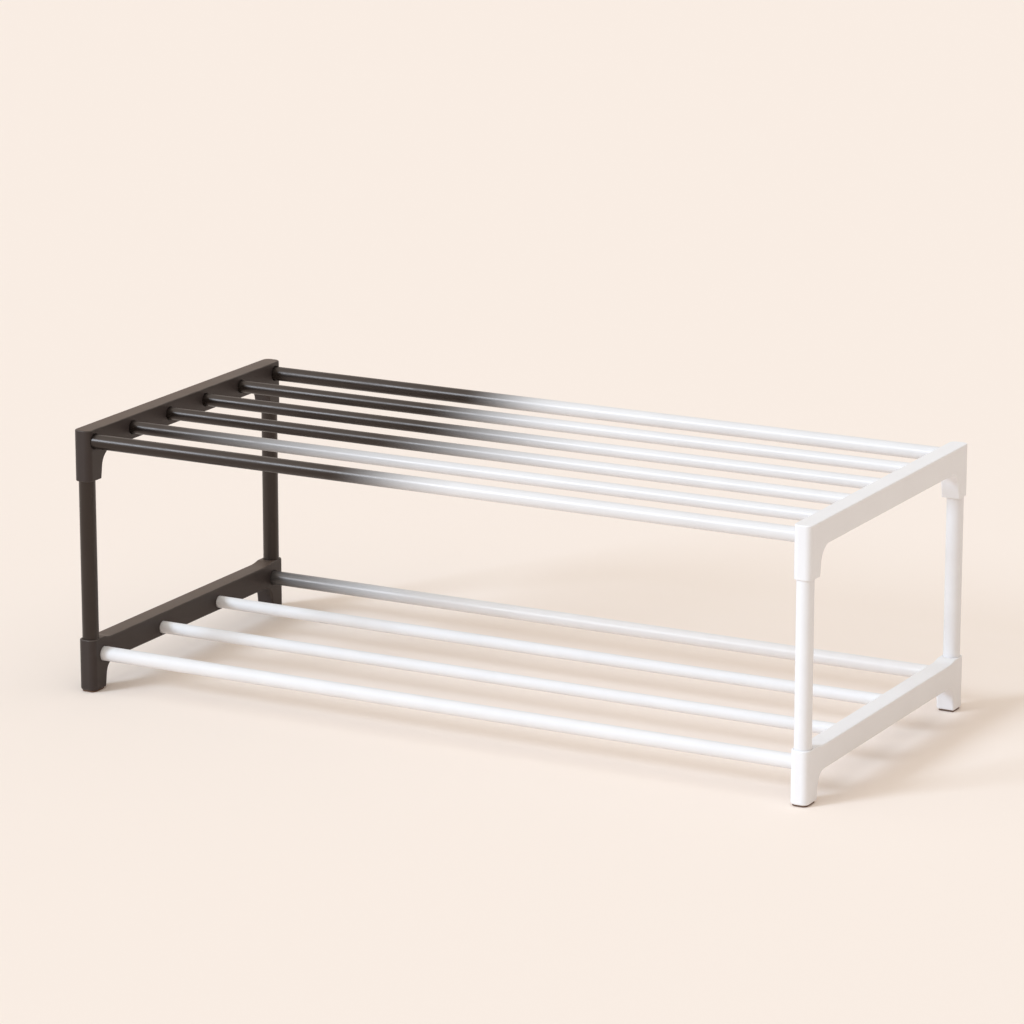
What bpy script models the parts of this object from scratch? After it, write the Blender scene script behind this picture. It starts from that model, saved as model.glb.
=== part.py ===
"""Underbed shoe rack: two end frames of moulded rails and tube posts, joined by two tiers of round rods.

Metres. +X runs along the rods towards the white end, -Y is the front, and the floor is Z = 0.
The origin is on the floor, midway between the four posts.
"""

import math

import bmesh
import bpy

# Where the tubes are.
POST_SPACING_X = 0.750
POST_SPACING_Y = 0.334
UPPER_ROD_COUNT = 6
LOWER_ROD_COUNT = 4
UPPER_ROD_INSET = 0.0015
LOWER_ROD_INSET = 0.0100
LOWER_ROD_DROP = 0.0030

# Steel tubes.
POST_RADIUS = 0.0080
POST_WALL = 0.0010
OUTER_ROD_RADIUS = 0.0070
INNER_ROD_RADIUS = 0.0060
ROD_WALL = 0.0008
TUBE_SIDES = 24

# Gap between a tube or a plug and the moulding that holds it.
CLEARANCE = 0.0003

# Plastic rails. The rods of the upper tier are at the middle of their rails' height.
UPPER_RAIL_MIDDLE = 0.2461
LOWER_RAIL_MIDDLE = 0.0382
RAIL_HEIGHT = 0.0234
SIDE_WALL = 0.0008
END_WALL = 0.0013
SLEEVE_INNER_WALL = 0.0034
FOOT_INNER_WALL = 0.0041
DRAFT = math.radians(8.0)
SLEEVE_DROP = 0.0265
UPPER_ARCH_RADIUS = 0.0170
LOWER_ARCH_RADIUS = 0.0135
COLLAR_RISE = 0.0020
COLLAR_BLEND = 0.0140
CORNER_RADIUS = 0.0065
EDGE_RADIUS = 0.0012
SLEEVE_LIP_RADIUS = 0.0006
FOOT_SIDE_RADIUS = 0.0020
FOOT_EDGE_RADIUS = 0.0019
CORNER_STEPS = 6
EDGE_STEPS = 3
ARC_STEPS = 7

# Sockets in the rails.
SOCKET_DEPTH = 0.0140
MOUTH_WIDTH = 0.0009
MOUTH_DEPTH = 0.0008
SOCKET_WEB = 0.0025
SPIGOT_LENGTH = 0.0280
SPIGOT_LEAD = 0.0015

# Cored pockets under the rails, between the rod sockets.
CORE_WALL = 0.0022
CORE_RIB = 0.0018
CORE_LENGTH_LIMIT = 0.0270
CORE_TOP_WALL = 0.0025

# Rubber foot pads.
PAD_THICKNESS = 0.0012
PAD_INSET = 0.0015
PAD_EDGE_RADIUS = 0.0004
PAD_EDGE_STEPS = 2
PLUG_RADIUS = 0.0040
PLUG_LENGTH = 0.0060

# A cutter runs this far past the face that it opens, and a joined shape this far into its base.
OVERRUN = 0.0010

# Edges and corners are picked out by where they are, to within this much.
SAME_PLACE = 1e-6

# Sizes that follow from the ones above.
POST_BORE = POST_RADIUS + CLEARANCE
HALF_WIDTH = POST_BORE + SIDE_WALL
END_Y = POST_SPACING_Y / 2 + POST_BORE + END_WALL
SLEEVE_INNER_Y = POST_SPACING_Y / 2 - POST_BORE - SLEEVE_INNER_WALL
FOOT_INNER_Y = POST_SPACING_Y / 2 - POST_BORE - FOOT_INNER_WALL
UPPER_TOP = UPPER_RAIL_MIDDLE + RAIL_HEIGHT / 2
UPPER_UNDERSIDE = UPPER_TOP - RAIL_HEIGHT
SLEEVE_BOTTOM = UPPER_UNDERSIDE - SLEEVE_DROP
LOWER_TOP = LOWER_RAIL_MIDDLE + RAIL_HEIGHT / 2
LOWER_UNDERSIDE = LOWER_TOP - RAIL_HEIGHT
COLLAR_TOP = LOWER_TOP + COLLAR_RISE
FOOT_BOTTOM = PAD_THICKNESS + CLEARANCE
LOWER_ROD_HEIGHT = LOWER_RAIL_MIDDLE - LOWER_ROD_DROP
ROD_MARGIN = OUTER_ROD_RADIUS + CLEARANCE + SOCKET_WEB
SLEEVE_CEILING = UPPER_RAIL_MIDDLE - ROD_MARGIN
CUP_FLOOR = LOWER_ROD_HEIGHT + ROD_MARGIN
POST_BOTTOM = CUP_FLOOR + CLEARANCE
POST_TOP = SLEEVE_CEILING - CLEARANCE
ROD_HALF_LENGTH = POST_SPACING_X / 2 - HALF_WIDTH + SOCKET_DEPTH - CLEARANCE

# Colours are linear RGB.
ANTHRACITE = (0.046, 0.037, 0.033)
WHITE = (0.86, 0.86, 0.85)
RUBBER = (0.060, 0.040, 0.030)

PLASTIC_ROUGHNESS = 0.45
PAINT_ROUGHNESS = 0.35
RUBBER_ROUGHNESS = 0.80

# Each rod that changes colour: where along X the anthracite ends and where the white begins.
UPPER_FADES = ((-0.10, 0.02), (-0.30, -0.14), (-0.10, 0.03), (-0.10, 0.02), (-0.13, -0.04), (-0.12, -0.05))
LOWER_BACK_FADE = (-0.345, -0.10)


def clear_scene():
    """Remove whatever the open file holds."""
    for item in list(bpy.data.objects):
        bpy.data.objects.remove(item, do_unlink=True)


def plain_finish(name, colour, roughness):
    """A material of one colour."""
    material = bpy.data.materials.new(name)
    material.use_nodes = True
    shader = material.node_tree.nodes["Principled BSDF"]
    shader.inputs["Base Color"].default_value = (*colour, 1.0)
    shader.inputs["Roughness"].default_value = roughness
    return material


def faded_finish(name, start, end):
    """A paint that fades from anthracite to white between two places along a rod."""
    material = plain_finish(name, WHITE, PAINT_ROUGHNESS)
    tree = material.node_tree
    place = tree.nodes.new("ShaderNodeTexCoord")
    split = tree.nodes.new("ShaderNodeSeparateXYZ")
    span = tree.nodes.new("ShaderNodeMapRange")
    span.interpolation_type = "SMOOTHSTEP"
    span.inputs["From Min"].default_value = start
    span.inputs["From Max"].default_value = end
    blend = tree.nodes.new("ShaderNodeMix")
    blend.data_type = "RGBA"
    blend.inputs["A"].default_value = (*ANTHRACITE, 1.0)
    blend.inputs["B"].default_value = (*WHITE, 1.0)
    tree.links.new(place.outputs["Object"], split.inputs["Vector"])
    tree.links.new(split.outputs["Z"], span.inputs["Value"])
    tree.links.new(span.outputs["Result"], blend.inputs["Factor"])
    tree.links.new(blend.outputs["Result"], tree.nodes["Principled BSDF"].inputs["Base Color"])
    return material


def new_object(name, mesh_builder, material=None):
    """Turn a finished bmesh into an object in the scene."""
    mesh = bpy.data.meshes.new(name)
    bmesh.ops.recalc_face_normals(mesh_builder, faces=mesh_builder.faces)
    mesh_builder.to_mesh(mesh)
    mesh_builder.free()
    made = bpy.data.objects.new(name, mesh)
    bpy.context.scene.collection.objects.link(made)
    if material:
        mesh.materials.append(material)
    return made


def shade_round(item):
    """Shade a round piece smooth, with its real edges kept sharp."""
    item.data.shade_smooth()
    item.data.set_sharp_from_angle(angle=math.radians(35.0))


def hide_helper(item, parent):
    """Carry a cutter or a joined shape with its rail, out of the finished model."""
    item.parent = parent
    item.hide_render = True
    item.display_type = "WIRE"


def add_boolean(item, other, operation):
    """Cut or join a helper shape, as a live modifier."""
    modifier = item.modifiers.new(operation.title(), "BOOLEAN")
    modifier.operation = operation
    modifier.solver = "EXACT"
    modifier.object = other


def rod_positions(count, inset):
    """Y places of a tier's rods, evenly spaced, the first and the last this far in from the posts."""
    span = POST_SPACING_Y - 2 * inset
    return [span * (index / (count - 1) - 0.5) for index in range(count)]


def rod_radii(count):
    """The front and back rods are thicker than the ones between them."""
    return [OUTER_ROD_RADIUS if index in (0, count - 1) else INNER_ROD_RADIUS for index in range(count)]


def circle(builder, radius, place, sides=TUBE_SIDES):
    """Vertices on a circle, with place turning two numbers in its plane into a point."""
    steps = [2 * math.pi * (index + 0.5) / sides for index in range(sides)]
    return [builder.verts.new(place(radius * math.cos(turn), radius * math.sin(turn))) for turn in steps]


def join_rings(builder, first, second):
    """Faces between two rings of the same count."""
    count = len(first)
    for index in range(count):
        after = (index + 1) % count
        builder.faces.new((first[index], first[after], second[after], second[index]))


def turned_along_x(builder, profile, y, z):
    """A closed solid turned about a line along X. The profile is a list of (x, radius)."""
    rings = [circle(builder, radius, lambda a, b, x=x: (x, y + a, z + b)) for x, radius in profile]
    for first, second in zip(rings, rings[1:]):
        join_rings(builder, first, second)
    builder.faces.new(rings[0])
    builder.faces.new(list(reversed(rings[-1])))


def turned_along_z(builder, profile, y):
    """A closed solid turned about a vertical line. The profile is a list of (z, radius)."""
    rings = [circle(builder, radius, lambda a, b, z=z: (a, y + b, z)) for z, radius in profile]
    for first, second in zip(rings, rings[1:]):
        join_rings(builder, first, second)
    builder.faces.new(rings[0])
    builder.faces.new(list(reversed(rings[-1])))


def box(builder, low, high):
    """A closed box between two corners."""
    corners = [
        builder.verts.new((x, y, z))
        for z in (low[2], high[2])
        for x, y in ((low[0], low[1]), (high[0], low[1]), (high[0], high[1]), (low[0], high[1]))
    ]
    lower = corners[:4]
    upper = corners[4:]
    join_rings(builder, lower, upper)
    builder.faces.new(list(reversed(lower)))
    builder.faces.new(upper)


def make_tube(name, radius, wall, length, material):
    """An open tube along its own Z, with its middle at its origin."""
    builder = bmesh.new()
    rings = [
        circle(builder, ring_radius, lambda a, b, z=z: (a, b, z))
        for z, ring_radius in (
            (-length / 2, radius),
            (length / 2, radius),
            (length / 2, radius - wall),
            (-length / 2, radius - wall),
        )
    ]
    for first, second in zip(rings, rings[1:] + rings[:1]):
        join_rings(builder, first, second)
    made = new_object(name, builder, material)
    shade_round(made)
    return made


def arch_points(bottom_y, bottom_z, underside, radius):
    """The inner side of a sleeve or a foot: a drafted wall that an arc joins to the rail's underside."""
    lean = math.sin(DRAFT)
    upright = math.cos(DRAFT)
    centre_z = underside - radius
    centre_y = bottom_y - (radius + lean * (centre_z - bottom_z)) / upright
    turns = [DRAFT + (math.pi / 2 - DRAFT) * step / ARC_STEPS for step in range(ARC_STEPS + 1)]
    arc = [(centre_y + radius * math.cos(turn), centre_z + radius * math.sin(turn)) for turn in turns]
    return [(bottom_y, bottom_z)] + arc


def collar_blend_points():
    """The rail's top rises to the collar in one hollow arc. From the rail to the collar."""
    radius = (COLLAR_BLEND ** 2 + COLLAR_RISE ** 2) / (2 * COLLAR_RISE)
    sweep = math.asin(COLLAR_BLEND / radius)
    start_y = FOOT_INNER_Y - COLLAR_BLEND
    turns = [sweep * step / ARC_STEPS for step in range(ARC_STEPS + 1)]
    return [(start_y + radius * math.sin(turn), LOWER_TOP + radius * (1 - math.cos(turn))) for turn in turns]


def mirrored_outline(half):
    """A closed outline in (y, z) from its +Y half, which runs from the top middle to the bottom middle."""
    return half + [(-y, z) for y, z in reversed(half)]


def upper_outline(arch):
    """The upper rail seen from its side."""
    return mirrored_outline([(END_Y, UPPER_TOP), (END_Y, SLEEVE_BOTTOM)] + arch)


def lower_outline(arch):
    """The lower rail seen from its side."""
    return mirrored_outline(collar_blend_points() + [(END_Y, COLLAR_TOP), (END_Y, FOOT_BOTTOM)] + arch)


def round_edges(builder, rule, radius, steps):
    """Round the edges that follow a rule."""
    edges = [edge for edge in builder.edges if rule(edge)]
    bmesh.ops.bevel(
        builder, geom=edges, offset=radius, offset_type="OFFSET", segments=steps, profile=0.5, affect="EDGES"
    )


def normals(edge):
    """The directions of the faces on the two sides of an edge."""
    return [face.normal for face in edge.link_faces]


def is_level(edge, height):
    """Whether an edge lies at a height."""
    return all(abs(vert.co.z - height) < SAME_PLACE for vert in edge.verts)


def is_end_corner(edge):
    """An upright edge between a rail's side and its end."""
    at_end = all(abs(abs(vert.co.y) - END_Y) < SAME_PLACE for vert in edge.verts)
    upright = abs(edge.verts[0].co.y - edge.verts[1].co.y) < SAME_PLACE
    return at_end and upright and any(abs(normal.x) > 0.99 for normal in normals(edge))


def is_top_rim(edge):
    """An edge round a rail's top."""
    return [normal.z > 0.5 for normal in normals(edge)].count(True) == 1


def is_arch_side(edge, bottom):
    """An edge between a rail's flat side and its arch or its underside."""
    touches_side = any(abs(normal.x) > 0.99 for normal in normals(edge))
    touches_arch = any(abs(normal.x) < 0.01 and normal.z < 0.5 for normal in normals(edge))
    return touches_side and touches_arch and not is_level(edge, bottom)


def is_bottom_rim(edge, bottom):
    """An edge round the bottom of a sleeve or a foot."""
    return is_level(edge, bottom) and [normal.z < -0.99 for normal in normals(edge)].count(True) == 1


def rail_body(outline, bottom, side_radius, lip_radius):
    """A rail without its sockets: the outline given its width, then rounded edge by edge."""
    builder = bmesh.new()
    sides = [[builder.verts.new((x, y, z)) for y, z in outline] for x in (-HALF_WIDTH, HALF_WIDTH)]
    join_rings(builder, sides[0], sides[1])
    builder.faces.new(list(reversed(sides[0])))
    builder.faces.new(sides[1])
    bmesh.ops.recalc_face_normals(builder, faces=builder.faces)
    round_edges(builder, is_end_corner, CORNER_RADIUS, CORNER_STEPS)
    round_edges(builder, lambda edge: is_arch_side(edge, bottom), side_radius, EDGE_STEPS)
    round_edges(builder, lambda edge: is_bottom_rim(edge, bottom), lip_radius, EDGE_STEPS)
    round_edges(builder, is_top_rim, EDGE_RADIUS, EDGE_STEPS)
    return builder


def socket_cutters(builder, places, height):
    """The blind rod sockets, with their widened mouths, in the rail's +X face."""
    floor = HALF_WIDTH - SOCKET_DEPTH
    for y, radius in zip(places, rod_radii(len(places))):
        bore = radius + CLEARANCE
        slope = MOUTH_WIDTH / MOUTH_DEPTH
        profile = [
            (floor, bore),
            (HALF_WIDTH - MOUTH_DEPTH, bore),
            (HALF_WIDTH + OVERRUN, bore + MOUTH_WIDTH + OVERRUN * slope),
        ]
        turned_along_x(builder, profile, y, height)


def core_cutters(builder, places, limit, underside, top):
    """Pockets that core the rail from below, between the sockets, with ribs where they would be long."""
    radii = rod_radii(len(places))
    half = HALF_WIDTH - CORE_WALL
    for index in range(len(places) - 1):
        low = max(places[index] + radii[index] + CLEARANCE + CORE_WALL, -limit)
        high = min(places[index + 1] - radii[index + 1] - CLEARANCE - CORE_WALL, limit)
        pockets = math.ceil((high - low + CORE_RIB) / (CORE_LENGTH_LIMIT + CORE_RIB))
        length = (high - low - CORE_RIB * (pockets - 1)) / pockets
        for pocket in range(pockets):
            start = low + pocket * (length + CORE_RIB)
            box(builder, (-half, start, underside - OVERRUN), (half, start + length, top - CORE_TOP_WALL))


def make_upper_rail(name, material):
    """A bar with a sleeve at each end that comes down over the top of a post."""
    arch = arch_points(SLEEVE_INNER_Y, SLEEVE_BOTTOM, UPPER_UNDERSIDE, UPPER_ARCH_RADIUS)
    body = rail_body(upper_outline(arch), SLEEVE_BOTTOM, EDGE_RADIUS, SLEEVE_LIP_RADIUS)
    rail = new_object(name, body, material)
    builder = bmesh.new()
    places = rod_positions(UPPER_ROD_COUNT, UPPER_ROD_INSET)
    socket_cutters(builder, places, UPPER_RAIL_MIDDLE)
    core_cutters(builder, places, arch[-1][0] - CORE_WALL, UPPER_UNDERSIDE, UPPER_TOP)
    for side in (-1, 1):
        profile = [(SLEEVE_BOTTOM - OVERRUN, POST_BORE), (SLEEVE_CEILING, POST_BORE)]
        turned_along_z(builder, profile, side * POST_SPACING_Y / 2)
    cutter = new_object(name + "_cutter", builder)
    hide_helper(cutter, rail)
    add_boolean(rail, cutter, "DIFFERENCE")
    return rail


def make_lower_rail(name, material):
    """A bar with a collar and a foot at each end, and in each collar a spigot that the post slides over."""
    arch = arch_points(FOOT_INNER_Y, FOOT_BOTTOM, LOWER_UNDERSIDE, LOWER_ARCH_RADIUS)
    body = rail_body(lower_outline(arch), FOOT_BOTTOM, FOOT_SIDE_RADIUS, FOOT_EDGE_RADIUS)
    rail = new_object(name, body, material)
    builder = bmesh.new()
    places = rod_positions(LOWER_ROD_COUNT, LOWER_ROD_INSET)
    socket_cutters(builder, places, LOWER_ROD_HEIGHT)
    core_cutters(builder, places, arch[-1][0] - CORE_WALL, LOWER_UNDERSIDE, LOWER_TOP)
    plug_bore = PLUG_RADIUS + CLEARANCE
    plug_ceiling = PAD_THICKNESS + PLUG_LENGTH + CLEARANCE
    for side in (-1, 1):
        y = side * POST_SPACING_Y / 2
        turned_along_z(builder, [(CUP_FLOOR, POST_BORE), (COLLAR_TOP + OVERRUN, POST_BORE)], y)
        turned_along_z(builder, [(FOOT_BOTTOM - OVERRUN, plug_bore), (plug_ceiling, plug_bore)], y)
    cutter = new_object(name + "_cutter", builder)
    hide_helper(cutter, rail)
    add_boolean(rail, cutter, "DIFFERENCE")

    builder = bmesh.new()
    spigot = POST_RADIUS - POST_WALL - CLEARANCE
    tip = CUP_FLOOR + SPIGOT_LENGTH
    profile = [(CUP_FLOOR - OVERRUN, spigot), (tip - SPIGOT_LEAD, spigot), (tip, spigot - SPIGOT_LEAD / 2)]
    for side in (-1, 1):
        turned_along_z(builder, profile, side * POST_SPACING_Y / 2)
    spigots = new_object(name + "_spigots", builder)
    hide_helper(spigots, rail)
    add_boolean(rail, spigots, "UNION")
    return rail


def make_foot_pad(name, material):
    """A rubber pad the shape of the foot, less a margin, with a plug that goes up into the foot."""
    builder = bmesh.new()
    half_x = HALF_WIDTH - PAD_INSET
    outer_y = END_Y - POST_SPACING_Y / 2 - PAD_INSET
    inner_y = POST_SPACING_Y / 2 - FOOT_INNER_Y - PAD_INSET
    box(builder, (-half_x, -outer_y, 0.0), (half_x, inner_y, PAD_THICKNESS))

    def is_upright(edge, direction):
        first, second = [vert.co for vert in edge.verts]
        return abs(first.z - second.z) > SAME_PLACE and first.y * direction > 0

    round_edges(builder, lambda edge: is_upright(edge, -1), CORNER_RADIUS - PAD_INSET, CORNER_STEPS)
    round_edges(builder, lambda edge: is_upright(edge, 1), EDGE_RADIUS, EDGE_STEPS)
    round_edges(builder, lambda edge: is_bottom_rim(edge, 0.0), PAD_EDGE_RADIUS, PAD_EDGE_STEPS)
    pad = new_object(name, builder, material)

    builder = bmesh.new()
    tip = PAD_THICKNESS + PLUG_LENGTH
    turned_along_z(builder, [(PAD_THICKNESS / 2, PLUG_RADIUS), (tip, PLUG_RADIUS)], 0.0)
    plug = new_object(name + "_plug", builder)
    hide_helper(plug, pad)
    add_boolean(pad, plug, "UNION")
    return pad


def make_end_frame(side_name, side, plastic, paint, rubber):
    """One end of the rack: two rails, two posts and two foot pads. The sockets face the other end."""
    x = side * POST_SPACING_X / 2
    turn = 0.0 if side < 0 else math.pi
    upper_rail = make_upper_rail(side_name + "_upper_rail", plastic)
    lower_rail = make_lower_rail(side_name + "_lower_rail", plastic)
    for rail in (upper_rail, lower_rail):
        rail.location = (x, 0.0, 0.0)
        rail.rotation_euler = (0.0, 0.0, turn)
    for place, direction in (("front", -1), ("back", 1)):
        y = direction * POST_SPACING_Y / 2
        name = "post_" + place + "_" + side_name
        post = make_tube(name, POST_RADIUS, POST_WALL, POST_TOP - POST_BOTTOM, paint)
        post.location = (x, y, (POST_TOP + POST_BOTTOM) / 2)
        pad = make_foot_pad("foot_pad_" + place + "_" + side_name, rubber)
        pad.location = (x, y, 0.0)
        pad.rotation_euler = (0.0, 0.0, 0.0 if direction < 0 else math.pi)


def make_tier(prefix, places, height, finishes):
    """A tier of rods from one end frame to the other, numbered from the front."""
    for index, (y, radius) in enumerate(zip(places, rod_radii(len(places)))):
        rod = make_tube(prefix + str(index + 1), radius, ROD_WALL, 2 * ROD_HALF_LENGTH, finishes[index])
        rod.location = (0.0, y, height)
        rod.rotation_euler = (0.0, math.pi / 2, 0.0)


def main():
    clear_scene()
    dark_plastic = plain_finish("dark_plastic", ANTHRACITE, PLASTIC_ROUGHNESS)
    white_plastic = plain_finish("white_plastic", WHITE, PLASTIC_ROUGHNESS)
    dark_paint = plain_finish("dark_paint", ANTHRACITE, PAINT_ROUGHNESS)
    white_paint = plain_finish("white_paint", WHITE, PAINT_ROUGHNESS)
    rubber = plain_finish("pad_rubber", RUBBER, RUBBER_ROUGHNESS)
    make_end_frame("left", -1, dark_plastic, dark_paint, rubber)
    make_end_frame("right", 1, white_plastic, white_paint, rubber)
    upper_finishes = [
        faded_finish("faded_paint_upper_" + str(index + 1), *fade) for index, fade in enumerate(UPPER_FADES)
    ]
    back_finish = faded_finish("faded_paint_lower_4", *LOWER_BACK_FADE)
    lower_finishes = [white_paint, white_paint, white_paint, back_finish]
    make_tier("upper_rod_", rod_positions(UPPER_ROD_COUNT, UPPER_ROD_INSET), UPPER_RAIL_MIDDLE, upper_finishes)
    make_tier("lower_rod_", rod_positions(LOWER_ROD_COUNT, LOWER_ROD_INSET), LOWER_ROD_HEIGHT, lower_finishes)


main()
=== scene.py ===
import math

import bmesh
import bpy
from mathutils import Matrix, Vector


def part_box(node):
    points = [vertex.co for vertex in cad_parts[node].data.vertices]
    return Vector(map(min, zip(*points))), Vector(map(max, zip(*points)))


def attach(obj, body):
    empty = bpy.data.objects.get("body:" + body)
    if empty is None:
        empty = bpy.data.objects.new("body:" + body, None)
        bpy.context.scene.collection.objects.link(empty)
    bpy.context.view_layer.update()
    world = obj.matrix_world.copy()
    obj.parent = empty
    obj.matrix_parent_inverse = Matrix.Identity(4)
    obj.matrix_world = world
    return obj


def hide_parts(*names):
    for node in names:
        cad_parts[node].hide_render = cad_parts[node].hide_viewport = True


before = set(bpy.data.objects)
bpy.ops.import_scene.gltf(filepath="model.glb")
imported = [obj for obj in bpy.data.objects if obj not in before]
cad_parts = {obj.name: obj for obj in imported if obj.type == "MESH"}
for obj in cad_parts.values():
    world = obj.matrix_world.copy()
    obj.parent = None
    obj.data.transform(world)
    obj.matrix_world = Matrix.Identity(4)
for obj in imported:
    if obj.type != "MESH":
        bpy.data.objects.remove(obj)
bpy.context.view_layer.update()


# The camera stands well back from the rack's front, to the right of its middle, and looks a little down
# through a long lens, so that each tier shows as a slim band of rods.
CAMERA_AZIMUTH = math.radians(28.261)
CAMERA_ELEVATION = math.radians(14.456)
CAMERA_DISTANCE = 4.4424
CAMERA_AIM = Vector((-0.01260, 0.01084, 0.18016))
CAMERA_LENS = 164.77
CAMERA_SENSOR = 36.0
CAMERA_REACH = 60.0

camera_data = bpy.data.cameras.new("studio_camera")
camera_data.sensor_width = CAMERA_SENSOR
camera_data.lens = CAMERA_LENS
camera_data.clip_end = CAMERA_REACH
camera = bpy.data.objects.new("studio_camera", camera_data)
bpy.context.scene.collection.objects.link(camera)
toward_camera = Vector((
    math.sin(CAMERA_AZIMUTH) * math.cos(CAMERA_ELEVATION),
    -math.cos(CAMERA_AZIMUTH) * math.cos(CAMERA_ELEVATION),
    math.sin(CAMERA_ELEVATION),
))
camera.location = CAMERA_AIM + toward_camera * CAMERA_DISTANCE
camera.rotation_euler = (-toward_camera).to_track_quat("-Z", "Y").to_euler()
bpy.context.scene.camera = camera


# The two lower rails. Each is one plastic moulding: a bar with a foot at each end and a low collar over
# it, blind sockets for four rods in its inner side, and pockets cored into its underside. A spigot in
# each collar goes up into the post. The left rail is anthracite and the right one is white.
RAIL_HALF_WIDTH = 0.0091
RAIL_HEIGHT = 0.0234
RAIL_END = 0.1766
POST_PLACE = 0.1670
POST_BORE = 0.0083
POST_RADIUS = 0.0080
POST_WALL = 0.0010
FIT = 0.0003
LOWER_RAIL_TOP = 0.0499
COLLAR_RISE = 0.0020
COLLAR_BLEND = 0.0140
FOOT_BOTTOM = 0.0015
FOOT_INNER = 0.1546
FOOT_ARCH = 0.0135
WALL_DRAFT = math.radians(8.0)
CORNER_ROUND = 0.0065
TOP_ROUND = 0.0012
FOOT_SIDE_ROUND = 0.0020
FOOT_RIM_ROUND = 0.0019
SOCKET_DEPTH = 0.0140
SOCKET_FLARE = 0.0009
CUP_FLOOR = 0.0450
CUP_FLARE = 0.0003
SPIGOT_LENGTH = 0.0280
SPIGOT_LEAD = 0.0015
PLUG_BORE = 0.0043
PLUG_CEILING = 0.0075
CORE_WALL = 0.0022
CORE_RIB = 0.0018
CORE_LIMIT = 0.0270
CORE_TOP_WALL = 0.0025
OUTER_ROD = 0.0070
INNER_ROD = 0.0060
LOWER_ROD_HEIGHT = 0.0352
LOWER_ROD_REACH = 0.1570
LOWER_RODS = 4
ARCH_STEPS = 18
MOUTH_STEPS = 4
CORNER_STEPS = 10
EDGE_STEPS = 5
LATHE_SIDES = 64
OVERRUN = 0.0010
CREASE = math.radians(38.0)
FLAT_FACE_WEIGHT = 100
TILT = 0.03
# An edge is picked for rounding by where its ends lie and by which way the faces beside it look.
ON_PLANE = 1e-6
AT_RAIL_END = 1e-5
STRAIGHT = 0.99
ACROSS = 0.01
UPWARD = 0.5


def scene_object(name, builder):
    """A finished bmesh as an object with its place in its mesh."""
    mesh = bpy.data.meshes.new(name)
    bmesh.ops.recalc_face_normals(builder, faces=builder.faces)
    builder.to_mesh(mesh)
    builder.free()
    made = bpy.data.objects.new(name, mesh)
    bpy.context.scene.collection.objects.link(made)
    return made


def skin(builder, first, second):
    """Faces between two rings of vertices."""
    for index in range(len(first)):
        after = (index + 1) % len(first)
        builder.faces.new((first[index], first[after], second[after], second[index]))


def lathe(builder, profile, place):
    """A closed solid turned from a list of (distance along, radius); place turns them into points."""
    turns = [2 * math.pi * (step + 0.5) / LATHE_SIDES for step in range(LATHE_SIDES)]
    rings = []
    for along, radius in profile:
        points = [place(along, radius * math.cos(t), radius * math.sin(t)) for t in turns]
        rings.append([builder.verts.new(point) for point in points])
    for first, second in zip(rings, rings[1:]):
        skin(builder, first, second)
    builder.faces.new(rings[0])
    builder.faces.new(list(reversed(rings[-1])))


def flared(face, radius, flare, depth):
    """The profile of a hole with a rounded mouth, from its floor to past the face that it opens in."""
    direction = 1.0 if face > depth else -1.0
    turns = [math.pi / 2 * step / MOUTH_STEPS for step in range(MOUTH_STEPS + 1)]
    mouth = [
        (face - direction * flare * (1 - math.sin(t)), radius + flare * (1 - math.cos(t))) for t in turns
    ]
    return [(depth, radius)] + mouth + [(face + direction * OVERRUN, radius + flare)]


def drafted_arch(bottom_y, bottom_z, underside, radius):
    """The inner side of a foot or a sleeve: a leaning wall, then an arc into the rail's underside."""
    centre_z = underside - radius
    lean = radius + math.sin(WALL_DRAFT) * (centre_z - bottom_z)
    centre_y = bottom_y - lean / math.cos(WALL_DRAFT)
    sweep = math.pi / 2 - WALL_DRAFT
    turns = [WALL_DRAFT + sweep * step / ARCH_STEPS for step in range(ARCH_STEPS + 1)]
    arc = [(centre_y + radius * math.cos(t), centre_z + radius * math.sin(t)) for t in turns]
    return [(bottom_y, bottom_z)] + arc


def rounded(builder, rule, radius, steps):
    """Round the edges that follow a rule."""
    edges = [edge for edge in builder.edges if rule(edge, [face.normal for face in edge.link_faces])]
    bmesh.ops.bevel(builder, geom=edges, offset=radius, segments=steps, profile=0.5, affect="EDGES")


def rail_bar(half_outline, middle_x, bottom, side_round, rim_round):
    """A rail before its holes: half an outline, mirrored, given width and rounded edge by edge."""
    outline = half_outline + [(-y, z) for y, z in reversed(half_outline)]
    builder = bmesh.new()
    near, far = [
        [builder.verts.new((middle_x + side * RAIL_HALF_WIDTH, y, z)) for y, z in outline]
        for side in (-1, 1)
    ]
    skin(builder, near, far)
    builder.faces.new(list(reversed(near)))
    builder.faces.new(far)
    bmesh.ops.recalc_face_normals(builder, faces=builder.faces)

    def at_bottom(edge):
        return all(abs(vert.co.z - bottom) < ON_PLANE for vert in edge.verts)

    def end_corner(edge, normals):
        at_end = all(abs(abs(vert.co.y) - RAIL_END) < AT_RAIL_END for vert in edge.verts)
        upright = abs(edge.verts[0].co.y - edge.verts[1].co.y) < ON_PLANE
        return at_end and upright and any(abs(normal.x) > STRAIGHT for normal in normals)

    def arch_side(edge, normals):
        on_side = any(abs(normal.x) > STRAIGHT for normal in normals)
        on_arch = any(abs(normal.x) < ACROSS and normal.z < UPWARD for normal in normals)
        return on_side and on_arch and not at_bottom(edge)

    def bottom_rim(edge, normals):
        return at_bottom(edge) and [normal.z < -STRAIGHT for normal in normals].count(True) == 1

    def top_rim(edge, normals):
        return [normal.z > UPWARD for normal in normals].count(True) == 1

    rounded(builder, end_corner, CORNER_ROUND, CORNER_STEPS)
    rounded(builder, arch_side, side_round, EDGE_STEPS)
    rounded(builder, bottom_rim, rim_round, EDGE_STEPS)
    rounded(builder, top_rim, TOP_ROUND, EDGE_STEPS)
    return builder


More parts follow.
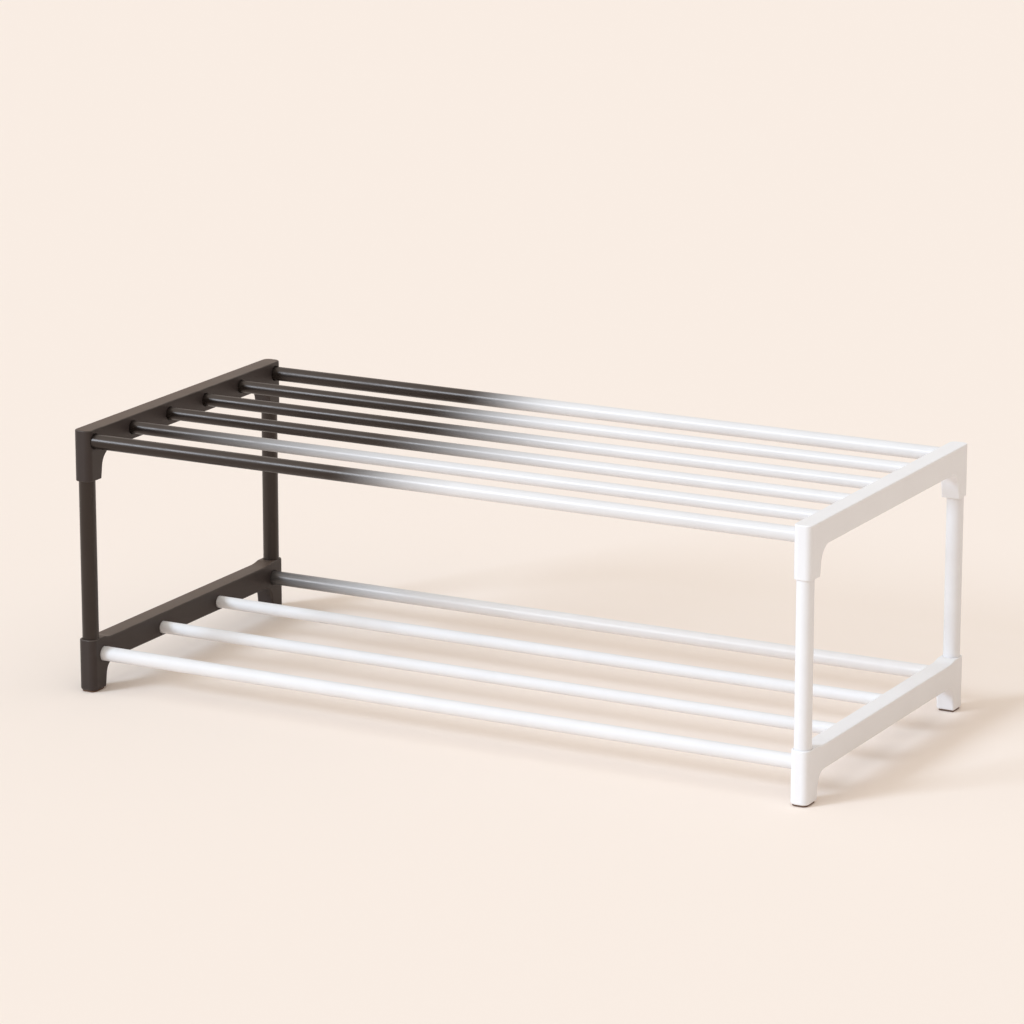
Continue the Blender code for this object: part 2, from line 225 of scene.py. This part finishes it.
def rod_rows(count, reach):
    """The (y, radius) of a tier's rods, front to back; the first and the last are thicker."""
    return [
        (reach * (2 * index / (count - 1) - 1), OUTER_ROD if index in (0, count - 1) else INNER_ROD)
        for index in range(count)
    ]


def cut_rod_sockets(builder, rows, height, middle_x):
    """Blind sockets in the side of a rail that faces the rack's middle."""
    inward = -1.0 if middle_x > 0 else 1.0
    face = middle_x + inward * RAIL_HALF_WIDTH
    for y, radius in rows:
        profile = flared(0.0, radius + FIT, SOCKET_FLARE, -SOCKET_DEPTH)
        lathe(builder, profile, lambda along, a, b, y=y: (face + inward * along, y + a, height + b))


def cut_post_hole(builder, y, middle_x, face, radius, flare, depth):
    """A round hole along a post's axis."""
    lathe(builder, flared(face, radius, flare, depth), lambda along, a, b: (middle_x + a, y + b, along))


class Pattern:
    """A tree of Geometry Nodes, with a named input for each size and one for the finish."""

    def __init__(self, name, inputs):
        self.tree = bpy.data.node_groups.new(name, "GeometryNodeTree")
        sockets = self.tree.interface
        self.keys = {}
        for label, kind in inputs:
            socket = sockets.new_socket(name=label, in_out="INPUT", socket_type="NodeSocket" + kind)
            self.keys[label] = socket.identifier
        sockets.new_socket(name="Geometry", in_out="OUTPUT", socket_type="NodeSocketGeometry")
        self.given = self.tree.nodes.new("NodeGroupInput").outputs

    def node(self, kind, settings=(), values=()):
        made = self.tree.nodes.new(kind)
        for name, value in dict(settings).items():
            setattr(made, name, value)
        for key, value in dict(values).items():
            if isinstance(value, bpy.types.NodeSocket):
                self.tree.links.new(value, made.inputs[key])
            else:
                made.inputs[key].default_value = value
        return made.outputs[0]

    def reckon(self, operation, *terms):
        return self.node("ShaderNodeMath", {"operation": operation}, dict(enumerate(terms)))

    def end(self, shape):
        """Make the shape real, give it the finish and hand it out."""
        real = self.node("GeometryNodeRealizeInstances", (), {"Geometry": shape})
        coated = self.node("GeometryNodeSetMaterial", (), {
            "Geometry": real, "Material": self.given["Finish"],
        })
        self.tree.links.new(coated, self.tree.nodes.new("NodeGroupOutput").inputs["Geometry"])


def pocket_row():
    """Core pockets set end to end, with a rib between each two."""
    row = Pattern("core_pocket_row", (
        ("Start", "Float"), ("Pocket Length", "Float"), ("Rib", "Float"), ("Width", "Float"),
        ("Bottom", "Float"), ("Top", "Float"), ("Middle X", "Float"), ("Count", "Int"),
        ("Finish", "Material"),
    ))
    given = row.given
    pitch = row.reckon("ADD", given["Pocket Length"], given["Rib"])
    first_y = row.reckon("MULTIPLY_ADD", given["Pocket Length"], 0.5, given["Start"])
    height = row.reckon("SUBTRACT", given["Top"], given["Bottom"])
    middle_z = row.reckon("MULTIPLY_ADD", height, 0.5, given["Bottom"])
    start = row.node("ShaderNodeCombineXYZ", (), {"X": given["Middle X"], "Y": first_y, "Z": middle_z})
    step = row.node("ShaderNodeCombineXYZ", (), {"Y": pitch})
    size = row.node("ShaderNodeCombineXYZ", (), {
        "X": given["Width"], "Y": given["Pocket Length"], "Z": height,
    })
    line = row.node("GeometryNodeMeshLine", {"mode": "OFFSET"}, {
        "Count": given["Count"], "Start Location": start, "Offset": step,
    })
    box = row.node("GeometryNodeMeshCube", (), {"Size": size})
    row.end(row.node("GeometryNodeInstanceOnPoints", (), {"Points": line, "Instance": box}))
    return row


def settle(piece):
    """Turn a piece's live modifiers into a plain mesh."""
    depsgraph = bpy.context.evaluated_depsgraph_get()
    mesh = bpy.data.meshes.new_from_object(piece.evaluated_get(depsgraph))
    mesh.name = piece.name
    piece.modifiers.clear()
    piece.data = mesh


def grown(name, pattern, values):
    """The plain mesh object that a pattern makes from a set of values."""
    seed = bpy.data.objects.new(name, bpy.data.meshes.new(name + "_seed"))
    bpy.context.scene.collection.objects.link(seed)
    modifier = seed.modifiers.new("grow", "NODES")
    modifier.node_group = pattern.tree
    for key, value in values.items():
        modifier[pattern.keys[key]] = value
    settle(seed)
    return seed


core_row = pocket_row()


def core_pockets(name, rows, flat_end, underside, top, middle_x):
    """Cutters for the pockets between the sockets, with ribs where a pocket would be long."""
    made = []
    for (low_y, low_radius), (high_y, high_radius) in zip(rows, rows[1:]):
        low = max(low_y + low_radius + FIT + CORE_WALL, -flat_end)
        high = min(high_y - high_radius - FIT - CORE_WALL, flat_end)
        count = math.ceil((high - low + CORE_RIB) / (CORE_LIMIT + CORE_RIB))
        made.append(grown(name + "_pockets", core_row, {
            "Start": low,
            "Pocket Length": (high - low - CORE_RIB * (count - 1)) / count,
            "Rib": CORE_RIB,
            "Width": 2 * (RAIL_HALF_WIDTH - CORE_WALL),
            "Bottom": underside - OVERRUN,
            "Top": top - CORE_TOP_WALL,
            "Middle X": middle_x,
            "Count": count,
        }))
    return made


def carved(piece, cutters, added=()):
    """Cut and join other objects into a piece, which then has a plain mesh; the others are removed."""
    steps = [(cutter, "DIFFERENCE") for cutter in cutters] + [(item, "UNION") for item in added]
    for other, operation in steps:
        modifier = piece.modifiers.new(operation.title(), "BOOLEAN")
        modifier.operation = operation
        modifier.solver = "EXACT"
        modifier.object = other
    settle(piece)
    for other in list(cutters) + list(added):
        bpy.data.objects.remove(other, do_unlink=True)


def smoothed(piece):
    """Smooth shading that keeps flat faces flat and follows the rounded edges between them."""
    piece.data.shade_smooth()
    piece.data.set_sharp_from_angle(angle=CREASE)
    modifier = piece.modifiers.new("Even", "WEIGHTED_NORMAL")
    modifier.keep_sharp = True
    modifier.weight = FLAT_FACE_WEIGHT
    settle(piece)


def mark_edges(piece):
    """Store edge_wear, which is 1 along the rounded edges that hands and shoes rub and 0 elsewhere."""
    mesh = piece.data
    rubbed = [True] * len(mesh.vertices)
    for face in mesh.polygons:
        slanted = TILT < abs(face.normal.x) < 1 - TILT
        at_end = abs(face.center.y) > POST_PLACE and abs(face.normal.z) < 1 - TILT
        if abs(face.normal.z) < TILT or not (slanted or at_end):
            for index in face.vertices:
                rubbed[index] = False
    wear = mesh.attributes.new("edge_wear", "FLOAT", "POINT")
    wear.data.foreach_set("value", [float(value) for value in rubbed])


class Wire:
    """One value in a material; sums written with it become Math nodes."""

    def __init__(self, finish, socket):
        self.finish = finish
        self.socket = socket

    def math(self, operation, first, second):
        return self.finish.node("ShaderNodeMath", {"operation": operation}, {0: first, 1: second})

    def __add__(self, other):
        return self.math("ADD", self, other)

    def __sub__(self, other):
        return self.math("SUBTRACT", self, other)

    def __rsub__(self, other):
        return self.math("SUBTRACT", other, self)

    def __mul__(self, other):
        return self.math("MULTIPLY", self, other)

    def __pow__(self, other):
        return self.math("POWER", self, other)

    __radd__ = __add__
    __rmul__ = __mul__


class Finish:
    """A material, with the one way in which its nodes are added."""

    def __init__(self, name, **constants):
        self.material = bpy.data.materials.new(name)
        self.material.use_nodes = True
        self.tree = self.material.node_tree
        self.shader = self.tree.nodes["Principled BSDF"]
        for key, value in constants.items():
            self.shader.inputs[key.replace("_", " ")].default_value = value

    def node(self, kind, settings=(), values=(), output=None):
        made = self.tree.nodes.new(kind)
        for name, value in dict(settings).items():
            setattr(made, name, value)
        for key, value in dict(values).items():
            self.feed(made, key, value)
        offered = [socket for socket in made.outputs if socket.enabled]
        return Wire(self, next(socket for socket in offered if output in (None, socket.name)))

    def feed(self, node, key, value):
        if isinstance(key, int):
            socket = node.inputs[key]
        else:
            socket = next(item for item in node.inputs if item.name == key and item.enabled)
        if isinstance(value, Wire):
            self.tree.links.new(value.socket, socket)
        elif isinstance(value, tuple) and len(value) == 3 and socket.type == "RGBA":
            socket.default_value = (*value, 1.0)
        else:
            socket.default_value = value

    def place(self):
        return self.node("ShaderNodeTexCoord", output="Object")

    def noise(self, scale, detail=2.0, stretch=None):
        where = self.place()
        if stretch:
            where = self.node("ShaderNodeMapping", (), {"Vector": where, "Scale": stretch})
        return self.node("ShaderNodeTexNoise", (), {"Vector": where, "Scale": scale, "Detail": detail})

    def spread(self, value, low, high, new_low, new_high):
        return self.node("ShaderNodeMapRange", {"interpolation_type": "SMOOTHSTEP"}, {
            "Value": value, "From Min": low, "From Max": high, "To Min": new_low, "To Max": new_high,
        })

    def blend(self, factor, first, second):
        return self.node("ShaderNodeMix", {"data_type": "RGBA"}, {
            "Factor": factor, "A": first, "B": second,
        })

    def finish(self, colour, roughness, height, depth):
        bump = self.node("ShaderNodeBump", (), {"Height": height, "Strength": 1.0, "Distance": depth})
        self.feed(self.shader, "Base Color", colour)
        self.feed(self.shader, "Roughness", roughness)
        self.feed(self.shader, "Normal", bump)
        return self.material


def moulded_plastic(name, colour, pale, rubbed, dust, roughness, **shine):
    """Moulded plastic: a fine even grain, slow drifts in tone, edges polished a little by handling, and
    a warm pale film on the faces that look up, as dense as dust says: painted light that lightens the
    tops as the light falling on them would, with the look of a little dust."""
    coat = Finish(name, **shine)
    drift = coat.noise(22.0, 3.0)
    flow = coat.noise(9.0, 2.0, (1.0, 0.25, 1.0))
    grain = coat.noise(2400.0, 2.0)
    pits = coat.node("ShaderNodeTexVoronoi", (), {"Vector": coat.place(), "Scale": 1500.0})
    tone = coat.spread(drift * 0.6 + flow * 0.4, 0.35, 0.65, 0.0, 1.0)
    base = coat.blend(tone, colour, pale)
    edge = coat.node("ShaderNodeAttribute", {"attribute_name": "edge_wear"}, output="Fac")
    patch = coat.spread(coat.noise(60.0, 3.0), 0.42, 0.62, 0.25, 1.0)
    wear = edge * patch
    facing = coat.node("ShaderNodeTexCoord", output="Normal")
    upward = coat.node("ShaderNodeSeparateXYZ", (), {0: facing}, output="Z")
    # Painted light on the tops: a warm pale film on the faces that look up, in patches like a little
    # dust.
    dust_and_top_light_patches = coat.spread(coat.noise(45.0, 3.0), 0.35, 0.65, 0.75, 1.0)
    film = coat.spread(upward, 0.80, 1.0, 0.0, dust) * dust_and_top_light_patches
    return coat.finish(
        coat.blend(film, coat.blend(wear * 0.6, base, rubbed), DUST_AND_TOP_LIGHT),
        tone * 0.06 + grain * 0.05 + roughness - wear * 0.10,
        grain * 0.7 + pits * 0.3,
        GRAIN_DEPTH,
    )


ANTHRACITE = (0.0300, 0.0235, 0.0225)
ANTHRACITE_PALE = (0.0345, 0.0275, 0.0260)
ANTHRACITE_RUBBED = (0.0800, 0.0690, 0.0620)
WHITE = (0.835, 0.828, 0.838)
WHITE_PALE = (0.860, 0.853, 0.863)
WHITE_RUBBED = (0.905, 0.898, 0.908)
# The tint of the painted light on the tops, a warm pale brown with the look of a little dust.
DUST_AND_TOP_LIGHT = (0.290, 0.175, 0.095)
GRAIN_DEPTH = 0.00004
WARM_SHINE = (1.00, 0.84, 0.74, 1.00)
# The dark mouldings get painted light on their tops through dust; the white ones get none.
dark_plastic = moulded_plastic(
    "dark_plastic", ANTHRACITE, ANTHRACITE_PALE, ANTHRACITE_RUBBED, dust=0.14, roughness=0.42,
    IOR=1.41, Specular_Tint=WARM_SHINE,
)
white_plastic = moulded_plastic(
    "white_plastic", WHITE, WHITE_PALE, WHITE_RUBBED, dust=0.0, roughness=0.40, IOR=1.48,
)


def collar_blend():
    """The top rises to the collar in one hollow arc."""
    radius = (COLLAR_BLEND ** 2 + COLLAR_RISE ** 2) / (2 * COLLAR_RISE)
    turns = [math.asin(COLLAR_BLEND / radius) * step / ARCH_STEPS for step in range(ARCH_STEPS + 1)]
    start = FOOT_INNER - COLLAR_BLEND
    return [(start + radius * math.sin(t), LOWER_RAIL_TOP + radius * (1 - math.cos(t))) for t in turns]


def lower_rail(name, node, plastic):
    low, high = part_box(node)
    middle_x = (low.x + high.x) / 2
    underside = LOWER_RAIL_TOP - RAIL_HEIGHT
    arch = drafted_arch(FOOT_INNER, FOOT_BOTTOM, underside, FOOT_ARCH)
    collar = LOWER_RAIL_TOP + COLLAR_RISE
    half = collar_blend() + [(RAIL_END, collar), (RAIL_END, FOOT_BOTTOM)] + arch
    bar = rail_bar(half, middle_x, FOOT_BOTTOM, FOOT_SIDE_ROUND, FOOT_RIM_ROUND)
    piece = scene_object(name, bar)
    holes = bmesh.new()
    rows = rod_rows(LOWER_RODS, LOWER_ROD_REACH)
    cut_rod_sockets(holes, rows, LOWER_ROD_HEIGHT, middle_x)
    spigots = bmesh.new()
    spigot = POST_RADIUS - POST_WALL - FIT
    tip = CUP_FLOOR + SPIGOT_LENGTH
    profile = [
        (CUP_FLOOR - OVERRUN, spigot), (tip - SPIGOT_LEAD, spigot), (tip, spigot - SPIGOT_LEAD / 2),
    ]
    for y in (-POST_PLACE, POST_PLACE):
        cut_post_hole(holes, y, middle_x, collar, POST_BORE, CUP_FLARE, CUP_FLOOR)
        cut_post_hole(holes, y, middle_x, FOOT_BOTTOM, PLUG_BORE, 0.0, PLUG_CEILING)
        lathe(spigots, profile, lambda along, a, b, y=y: (middle_x + a, y + b, along))
    pockets = core_pockets(name, rows, arch[-1][0] - CORE_WALL, underside, LOWER_RAIL_TOP, middle_x)
    cutters = [scene_object(name + "_holes", holes)] + pockets
    carved(piece, cutters, [scene_object(name + "_spigots", spigots)])
    mark_edges(piece)
    smoothed(piece)
    piece.data.materials.clear()
    piece.data.materials.append(plastic)
    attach(piece, "root")
    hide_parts(node)


lower_rail("anthracite_lower_rail", "left_lower_rail", dark_plastic)
lower_rail("white_lower_rail", "right_lower_rail", white_plastic)


# Four rubber pads, one pushed by its plug into a hole under each foot. They are a little smaller than
# the feet, so from the side each shows as a thin dark line between the foot and the floor.
PAD_THICKNESS = 0.0012
PAD_INSET = 0.0015
PAD_RIM = 0.0004
PAD_PLUG = 0.0040
PAD_PLUG_LENGTH = 0.0060
PAD_BROWN = (0.130, 0.066, 0.036)
PAD_BROWN_PALE = (0.160, 0.088, 0.052)
PAD_DUST = (0.24, 0.17, 0.125)
PAD_DUST_SHARE = 0.35
PAD_PIT_DEPTH = 0.00006


def pad_rubber():
    """Brown rubber: matt, finely pitted, and dusted paler towards the floor."""
    coat = Finish("pad_rubber", IOR=1.50)
    pits = coat.noise(1800.0, 3.0)
    drift = coat.spread(coat.noise(120.0, 3.0), 0.35, 0.65, 0.0, 1.0)
    height = coat.node("ShaderNodeSeparateXYZ", (), {0: coat.place()}, output="Z")
    dust = coat.spread(height, 0.0, PAD_THICKNESS, PAD_DUST_SHARE, 0.0) * drift
    base = coat.blend(drift, PAD_BROWN, PAD_BROWN_PALE)
    colour = coat.blend(dust, base, PAD_DUST)
    return coat.finish(colour, pits * 0.12 + 0.72, pits, PAD_PIT_DEPTH)


rubber = pad_rubber()


def foot_pad(name, node):
    low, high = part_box(node)
    builder = bmesh.new()
    back = 1.0 if low.y > 0 else -1.0
    corners = [(low.x, low.y), (high.x, low.y), (high.x, high.y), (low.x, high.y)]
    rings = [[builder.verts.new((x, y, z)) for x, y in corners] for z in (low.z, low.z + PAD_THICKNESS)]
    skin(builder, *rings)
    builder.faces.new(list(reversed(rings[0])))
    builder.faces.new(rings[1])
    inner_y, outer_y = (low.y, high.y) if back > 0 else (high.y, low.y)

    def upright_at(edge, y):
        first, second = [vert.co for vert in edge.verts]
        return abs(first.z - second.z) > ON_PLANE and abs(first.y - y) < ON_PLANE

    def floor_rim(edge, normals):
        level = all(abs(vert.co.z - low.z) < ON_PLANE for vert in edge.verts)
        return level and [normal.z < -STRAIGHT for normal in normals].count(True) == 1

    outer_round = CORNER_ROUND - PAD_INSET
    rounded(builder, lambda edge, normals: upright_at(edge, outer_y), outer_round, CORNER_STEPS)
    rounded(builder, lambda edge, normals: upright_at(edge, inner_y), TOP_ROUND, EDGE_STEPS)
    bmesh.ops.recalc_face_normals(builder, faces=builder.faces)
    rounded(builder, floor_rim, PAD_RIM, EDGE_STEPS)
    plate = scene_object(name, builder)
    plug = bmesh.new()
    tip = low.z + PAD_THICKNESS + PAD_PLUG_LENGTH
    profile = [
        (low.z + PAD_THICKNESS / 2, PAD_PLUG), (tip - PAD_RIM, PAD_PLUG), (tip, PAD_PLUG - PAD_RIM),
    ]
    middle_x = (low.x + high.x) / 2
    lathe(plug, profile, lambda along, a, b: (middle_x + a, back * POST_PLACE + b, along))
    carved(plate, [], [scene_object(name + "_plug", plug)])
    smoothed(plate)
    plate.data.materials.clear()
    plate.data.materials.append(rubber)
    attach(plate, "root")
    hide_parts(node)


for depth_side in ("front", "back"):
    for end_side in ("left", "right"):
        foot_pad("rubber_pad_" + depth_side + "_" + end_side, "foot_pad_" + depth_side + "_" + end_side)


# Four posts of 16 mm steel tube with a 1 mm wall, cut to length, deburred and powder coated. Each stands
# on a spigot in a lower rail's collar and goes up into a sleeve of the upper rail, held by friction.
TUBE_LIP = 0.00025
LIP_STEPS = 3


def tube_wall():
    """A rounded strip, which is a tube's wall in section, turned about the tube's axis."""
    wall = Pattern("round_tube", (
        ("Radius", "Float"), ("Wall", "Float"), ("Length", "Float"), ("Lip", "Float"),
        ("Sides", "Int"), ("Centre", "Vector"), ("Turn", "Vector"), ("Finish", "Material"),
    ))
    given = wall.given
    half_wall = wall.reckon("MULTIPLY", given["Wall"], 0.5)
    middle = wall.reckon("SUBTRACT", given["Radius"], half_wall)
    path = wall.node("GeometryNodeCurvePrimitiveCircle", {"mode": "RADIUS"}, {
        "Resolution": given["Sides"], "Radius": middle,
    })
    section = wall.node("GeometryNodeCurvePrimitiveQuadrilateral", {"mode": "RECTANGLE"}, {
        "Width": given["Wall"], "Height": given["Length"],
    })
    lip = wall.node("GeometryNodeFilletCurve", {"mode": "POLY"}, {
        "Curve": section, "Count": LIP_STEPS, "Radius": given["Lip"],
    })
    turned = wall.node("GeometryNodeCurveToMesh", (), {"Curve": path, "Profile Curve": lip})
    wall.end(wall.node("GeometryNodeTransform", (), {
        "Geometry": turned, "Translation": given["Centre"], "Rotation": given["Turn"],
    }))
    return wall


round_tube = tube_wall()


def tube(name, node, radius, wall, finish, slot):
    """A tube as long and as thick as its CAD node, along that node's longest side."""
    low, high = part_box(node)
    span = high - low
    lying = span.x > span.z
    piece = grown(name, round_tube, {
        "Radius": radius,
        "Wall": wall,
        "Length": span.x if lying else span.z,
        "Lip": TUBE_LIP,
        "Sides": LATHE_SIDES,
        "Centre": (low + high) / 2,
        "Turn": (0.0, math.pi / 2, 0.0) if lying else (0.0, 0.0, 0.0),
        "Finish": finish,
    })
    smoothed(piece)
    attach(piece, "root")
    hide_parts(node)


def powder_coat(name, colour_of, roughness, **shine):
    """Powder coat on steel tube: orange peel, a fine speckle in the tone, and faint rubbed patches."""
    coat = Finish(name, **shine)
    peel = coat.noise(620.0, 1.0)
    speck = coat.noise(3200.0, 2.0)
    drift = coat.spread(coat.noise(26.0, 3.0), 0.35, 0.65, 0.0, 1.0)
    rub = coat.spread(coat.noise(34.0, 3.0), 0.58, 0.70, 0.0, 1.0)
    return coat.finish(
        colour_of(coat, drift * 0.7 + speck * 0.3),
        drift * 0.06 + speck * 0.05 + roughness + rub * 0.05,
        peel * 0.8 + speck * 0.2,
        PEEL_DEPTH,
    )


PEEL_DEPTH = 0.00005
DARK_COAT = (0.0130, 0.0095, 0.0082)
DARK_COAT_PALE = (0.0165, 0.0125, 0.0108)
dark_coat = powder_coat(
    "dark_powder_coat", lambda coat, tone: coat.blend(tone, DARK_COAT, DARK_COAT_PALE),
    roughness=0.30, IOR=1.50, Specular_Tint=WARM_SHINE,
)
white_coat = powder_coat(
    "white_powder_coat", lambda coat, tone: coat.blend(tone, WHITE, WHITE_PALE),
    roughness=0.55, IOR=1.42,
)
POST_COATS = (("left", dark_coat, "dark_paint"), ("right", white_coat, "white_paint"))
for depth_side in ("front", "back"):
    for end_side, coat, slot in POST_COATS:
        corner = depth_side + "_" + end_side
        tube("tube_post_" + corner, "post_" + corner, POST_RADIUS, POST_WALL, coat, slot)


# The two upper rails. Each is one moulding like the lower ones: a bar with a sleeve at each end that
# comes down over the top of a post, blind sockets for six rods in its inner side, and pockets cored
# into its underside. No screws hold them.
UPPER_RAIL_TOP = 0.2578
SLEEVE_BOTTOM = 0.2079
SLEEVE_INNER = 0.1553
SLEEVE_ARCH = 0.0170
SLEEVE_SIDE_ROUND = 0.0012
SLEEVE_RIM_ROUND = 0.0006
SLEEVE_CEILING = 0.2363
UPPER_ROD_HEIGHT = 0.2461
UPPER_ROD_REACH = 0.1655
UPPER_RODS = 6


def upper_rail(name, node, plastic):
    low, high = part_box(node)
    middle_x = (low.x + high.x) / 2
    underside = UPPER_RAIL_TOP - RAIL_HEIGHT
    arch = drafted_arch(SLEEVE_INNER, SLEEVE_BOTTOM, underside, SLEEVE_ARCH)
    half = [(RAIL_END, UPPER_RAIL_TOP), (RAIL_END, SLEEVE_BOTTOM)] + arch
    bar = rail_bar(half, middle_x, SLEEVE_BOTTOM, SLEEVE_SIDE_ROUND, SLEEVE_RIM_ROUND)
    piece = scene_object(name, bar)
    holes = bmesh.new()
    rows = rod_rows(UPPER_RODS, UPPER_ROD_REACH)
    cut_rod_sockets(holes, rows, UPPER_ROD_HEIGHT, middle_x)
    for y in (-POST_PLACE, POST_PLACE):
        cut_post_hole(holes, y, middle_x, SLEEVE_BOTTOM, POST_BORE, CUP_FLARE, SLEEVE_CEILING)
    pockets = core_pockets(name, rows, arch[-1][0] - CORE_WALL, underside, UPPER_RAIL_TOP, middle_x)
    carved(piece, [scene_object(name + "_holes", holes)] + pockets)
    mark_edges(piece)
    smoothed(piece)
    piece.data.materials.clear()
    piece.data.materials.append(plastic)
    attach(piece, "root")
    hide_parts(node)


upper_rail("anthracite_upper_rail", "left_upper_rail", dark_plastic)
upper_rail("white_upper_rail", "right_upper_rail", white_plastic)


# The lower tier: four steel tubes, 14 mm thick at the front and the back and 12 mm between them, pushed
# into the lower rails. Three are white all along; the back one is sprayed from anthracite to white.
ROD_WALL = 0.0008
# The rods' white is the posts' white paint painted darker, as painted shade: the rods show greyer in the
# shade they lie in.
SHADED_LOWER_WHITE = (0.793, 0.777, 0.774)
SHADED_LOWER_WHITE_PALE = (0.823, 0.807, 0.804)
LOWER_BACK_FADE = (-0.406, 0.054)
FADE_MIST = 0.010
FADE_CURVE = 3.0
FADE_ROUGHNESS = 0.27
FADE_IOR = 1.48


def faded(start, end, white, white_pale):
    """The tone of a rod that was sprayed so that anthracite passes into white between two places."""
    def colour_of(coat, tone):
        along = coat.node("ShaderNodeSeparateXYZ", (), {0: coat.place()}, output="X")
        mist = coat.noise(900.0, 2.0) * FADE_MIST - FADE_MIST / 2
        white_share = 1.0 - coat.spread(along + mist, start, end, 1.0, 0.0) ** FADE_CURVE
        dark = coat.blend(tone, DARK_COAT, DARK_COAT_PALE)
        pale = coat.blend(tone, white, white_pale)
        return coat.blend(white_share, dark, pale)
    return colour_of


rod_coat = powder_coat(
    "shaded_white_rod_coat", lambda coat, tone: coat.blend(tone, SHADED_LOWER_WHITE, SHADED_LOWER_WHITE_PALE),
    roughness=0.52, IOR=1.46,
)
lower_back_fade = powder_coat(
    "lower_back_fade", faded(*LOWER_BACK_FADE, SHADED_LOWER_WHITE, SHADED_LOWER_WHITE_PALE),
    roughness=FADE_ROUGHNESS, IOR=FADE_IOR, Specular_Tint=WARM_SHINE,
)
for number, (_, radius) in enumerate(rod_rows(LOWER_RODS, LOWER_ROD_REACH), 1):
    at_back = number == LOWER_RODS
    coat, slot = (lower_back_fade, "faded_paint") if at_back else (rod_coat, "white_paint")
    tube("lower_tube_" + str(number), "lower_rod_" + str(number), radius, ROD_WALL, coat, slot)


# The upper tier: six steel tubes of the same two sizes, pushed into the upper rails. Every one is
# sprayed anthracite at the left and white at the right, and the colour changes at its own place on each.
# Their white is the same white paint painted darker still, as painted shade.
SHADED_UPPER_WHITE = (0.725, 0.716, 0.716)
SHADED_UPPER_WHITE_PALE = (0.755, 0.746, 0.746)
UPPER_FADES = (
    (-0.107, 0.111), (-0.342, 0.232), (-0.138, 0.221),
    (-0.124, 0.181), (-0.155, 0.095), (-0.149, 0.038),
)
upper_rows = rod_rows(UPPER_RODS, UPPER_ROD_REACH)
for number, ((_, radius), fade_span) in enumerate(zip(upper_rows, UPPER_FADES), 1):
    fade = powder_coat(
        "upper_fade_" + str(number), faded(*fade_span, SHADED_UPPER_WHITE, SHADED_UPPER_WHITE_PALE),
        roughness=FADE_ROUGHNESS, IOR=FADE_IOR, Specular_Tint=WARM_SHINE,
    )
    tube("upper_tube_" + str(number), "upper_rod_" + str(number), radius, ROD_WALL, fade, "faded_paint")


# The studio: one pale cream floor that runs out of sight, a key light and a softbox at the front left,
# a broad softbox high in front, a fill light behind, and even warm light all round. Beyond the floor,
# the camera and shiny faces see the floor's colour.
FLOOR_COLOUR = (0.952, 0.850, 0.772)
FLOOR_RADIUS = 30.0
FLOOR_SIDES = 96
FLOOR_DROP = 0.0002
AMBIENT_COLOUR = (0.455, 0.385, 0.320)
LAMPS = (
    # name, the floor's light from it in red, green and blue, width, azimuth and elevation
    ("key_light", (0.175, 0.220, 0.275), 17.0, 234.0, 28.0),
    ("left_softbox", (0.030, 0.025, 0.015), 60.0, 225.0, 45.0),
    ("overhead_softbox", (0.260, 0.285, 0.300), 90.0, 255.0, 60.0),
    ("fill_light", (0.080, 0.085, 0.090), 80.0, 60.0, 50.0),
)

builder = bmesh.new()
bmesh.ops.create_circle(builder, cap_ends=True, segments=FLOOR_SIDES, radius=FLOOR_RADIUS)
studio_floor = scene_object("studio_floor", builder)
studio_floor.data.transform(Matrix.Translation((0.0, 0.0, -FLOOR_DROP)))
floor_finish = Finish("studio_floor", Roughness=1.0, Specular_IOR_Level=0.0)
floor_finish.feed(floor_finish.shader, "Base Color", FLOOR_COLOUR)
studio_floor.data.materials.append(floor_finish.material)

for name, light, width, azimuth, elevation in LAMPS:
    turn, rise = math.radians(azimuth), math.radians(elevation)
    lamp_data = bpy.data.lights.new(name, "SUN")
    lamp_data.color = light
    lamp_data.energy = math.pi / math.sin(rise)
    lamp_data.angle = math.radians(width)
    lamp = bpy.data.objects.new(name, lamp_data)
    bpy.context.scene.collection.objects.link(lamp)
    source = Vector((math.cos(turn) * math.cos(rise), math.sin(turn) * math.cos(rise), math.sin(rise)))
    lamp.rotation_euler = (-source).to_track_quat("-Z", "Y").to_euler()

world = bpy.data.worlds.new("studio_light")
bpy.context.scene.world = world
world.use_nodes = True
sky = world.node_tree
sky.nodes.clear()
soft = sky.nodes.new("ShaderNodeBackground")
soft.inputs["Color"].default_value = (*AMBIENT_COLOUR, 1.0)
soft.inputs["Strength"].default_value = 1.0
seen = sky.nodes.new("ShaderNodeBackground")
seen.inputs["Color"].default_value = (*FLOOR_COLOUR, 1.0)
seen.inputs["Strength"].default_value = 1.0
rays = sky.nodes.new("ShaderNodeLightPath")
either = sky.nodes.new("ShaderNodeMath")
either.operation = "MAXIMUM"
sky.links.new(rays.outputs["Is Camera Ray"], either.inputs[0])
sky.links.new(rays.outputs["Is Glossy Ray"], either.inputs[1])
choice = sky.nodes.new("ShaderNodeMixShader")
sky.links.new(either.outputs[0], choice.inputs[0])
sky.links.new(soft.outputs[0], choice.inputs[1])
sky.links.new(seen.outputs[0], choice.inputs[2])
sky.links.new(choice.outputs[0], sky.nodes.new("ShaderNodeOutputWorld").inputs["Surface"])

bpy.context.scene.view_settings.view_transform = "Standard"
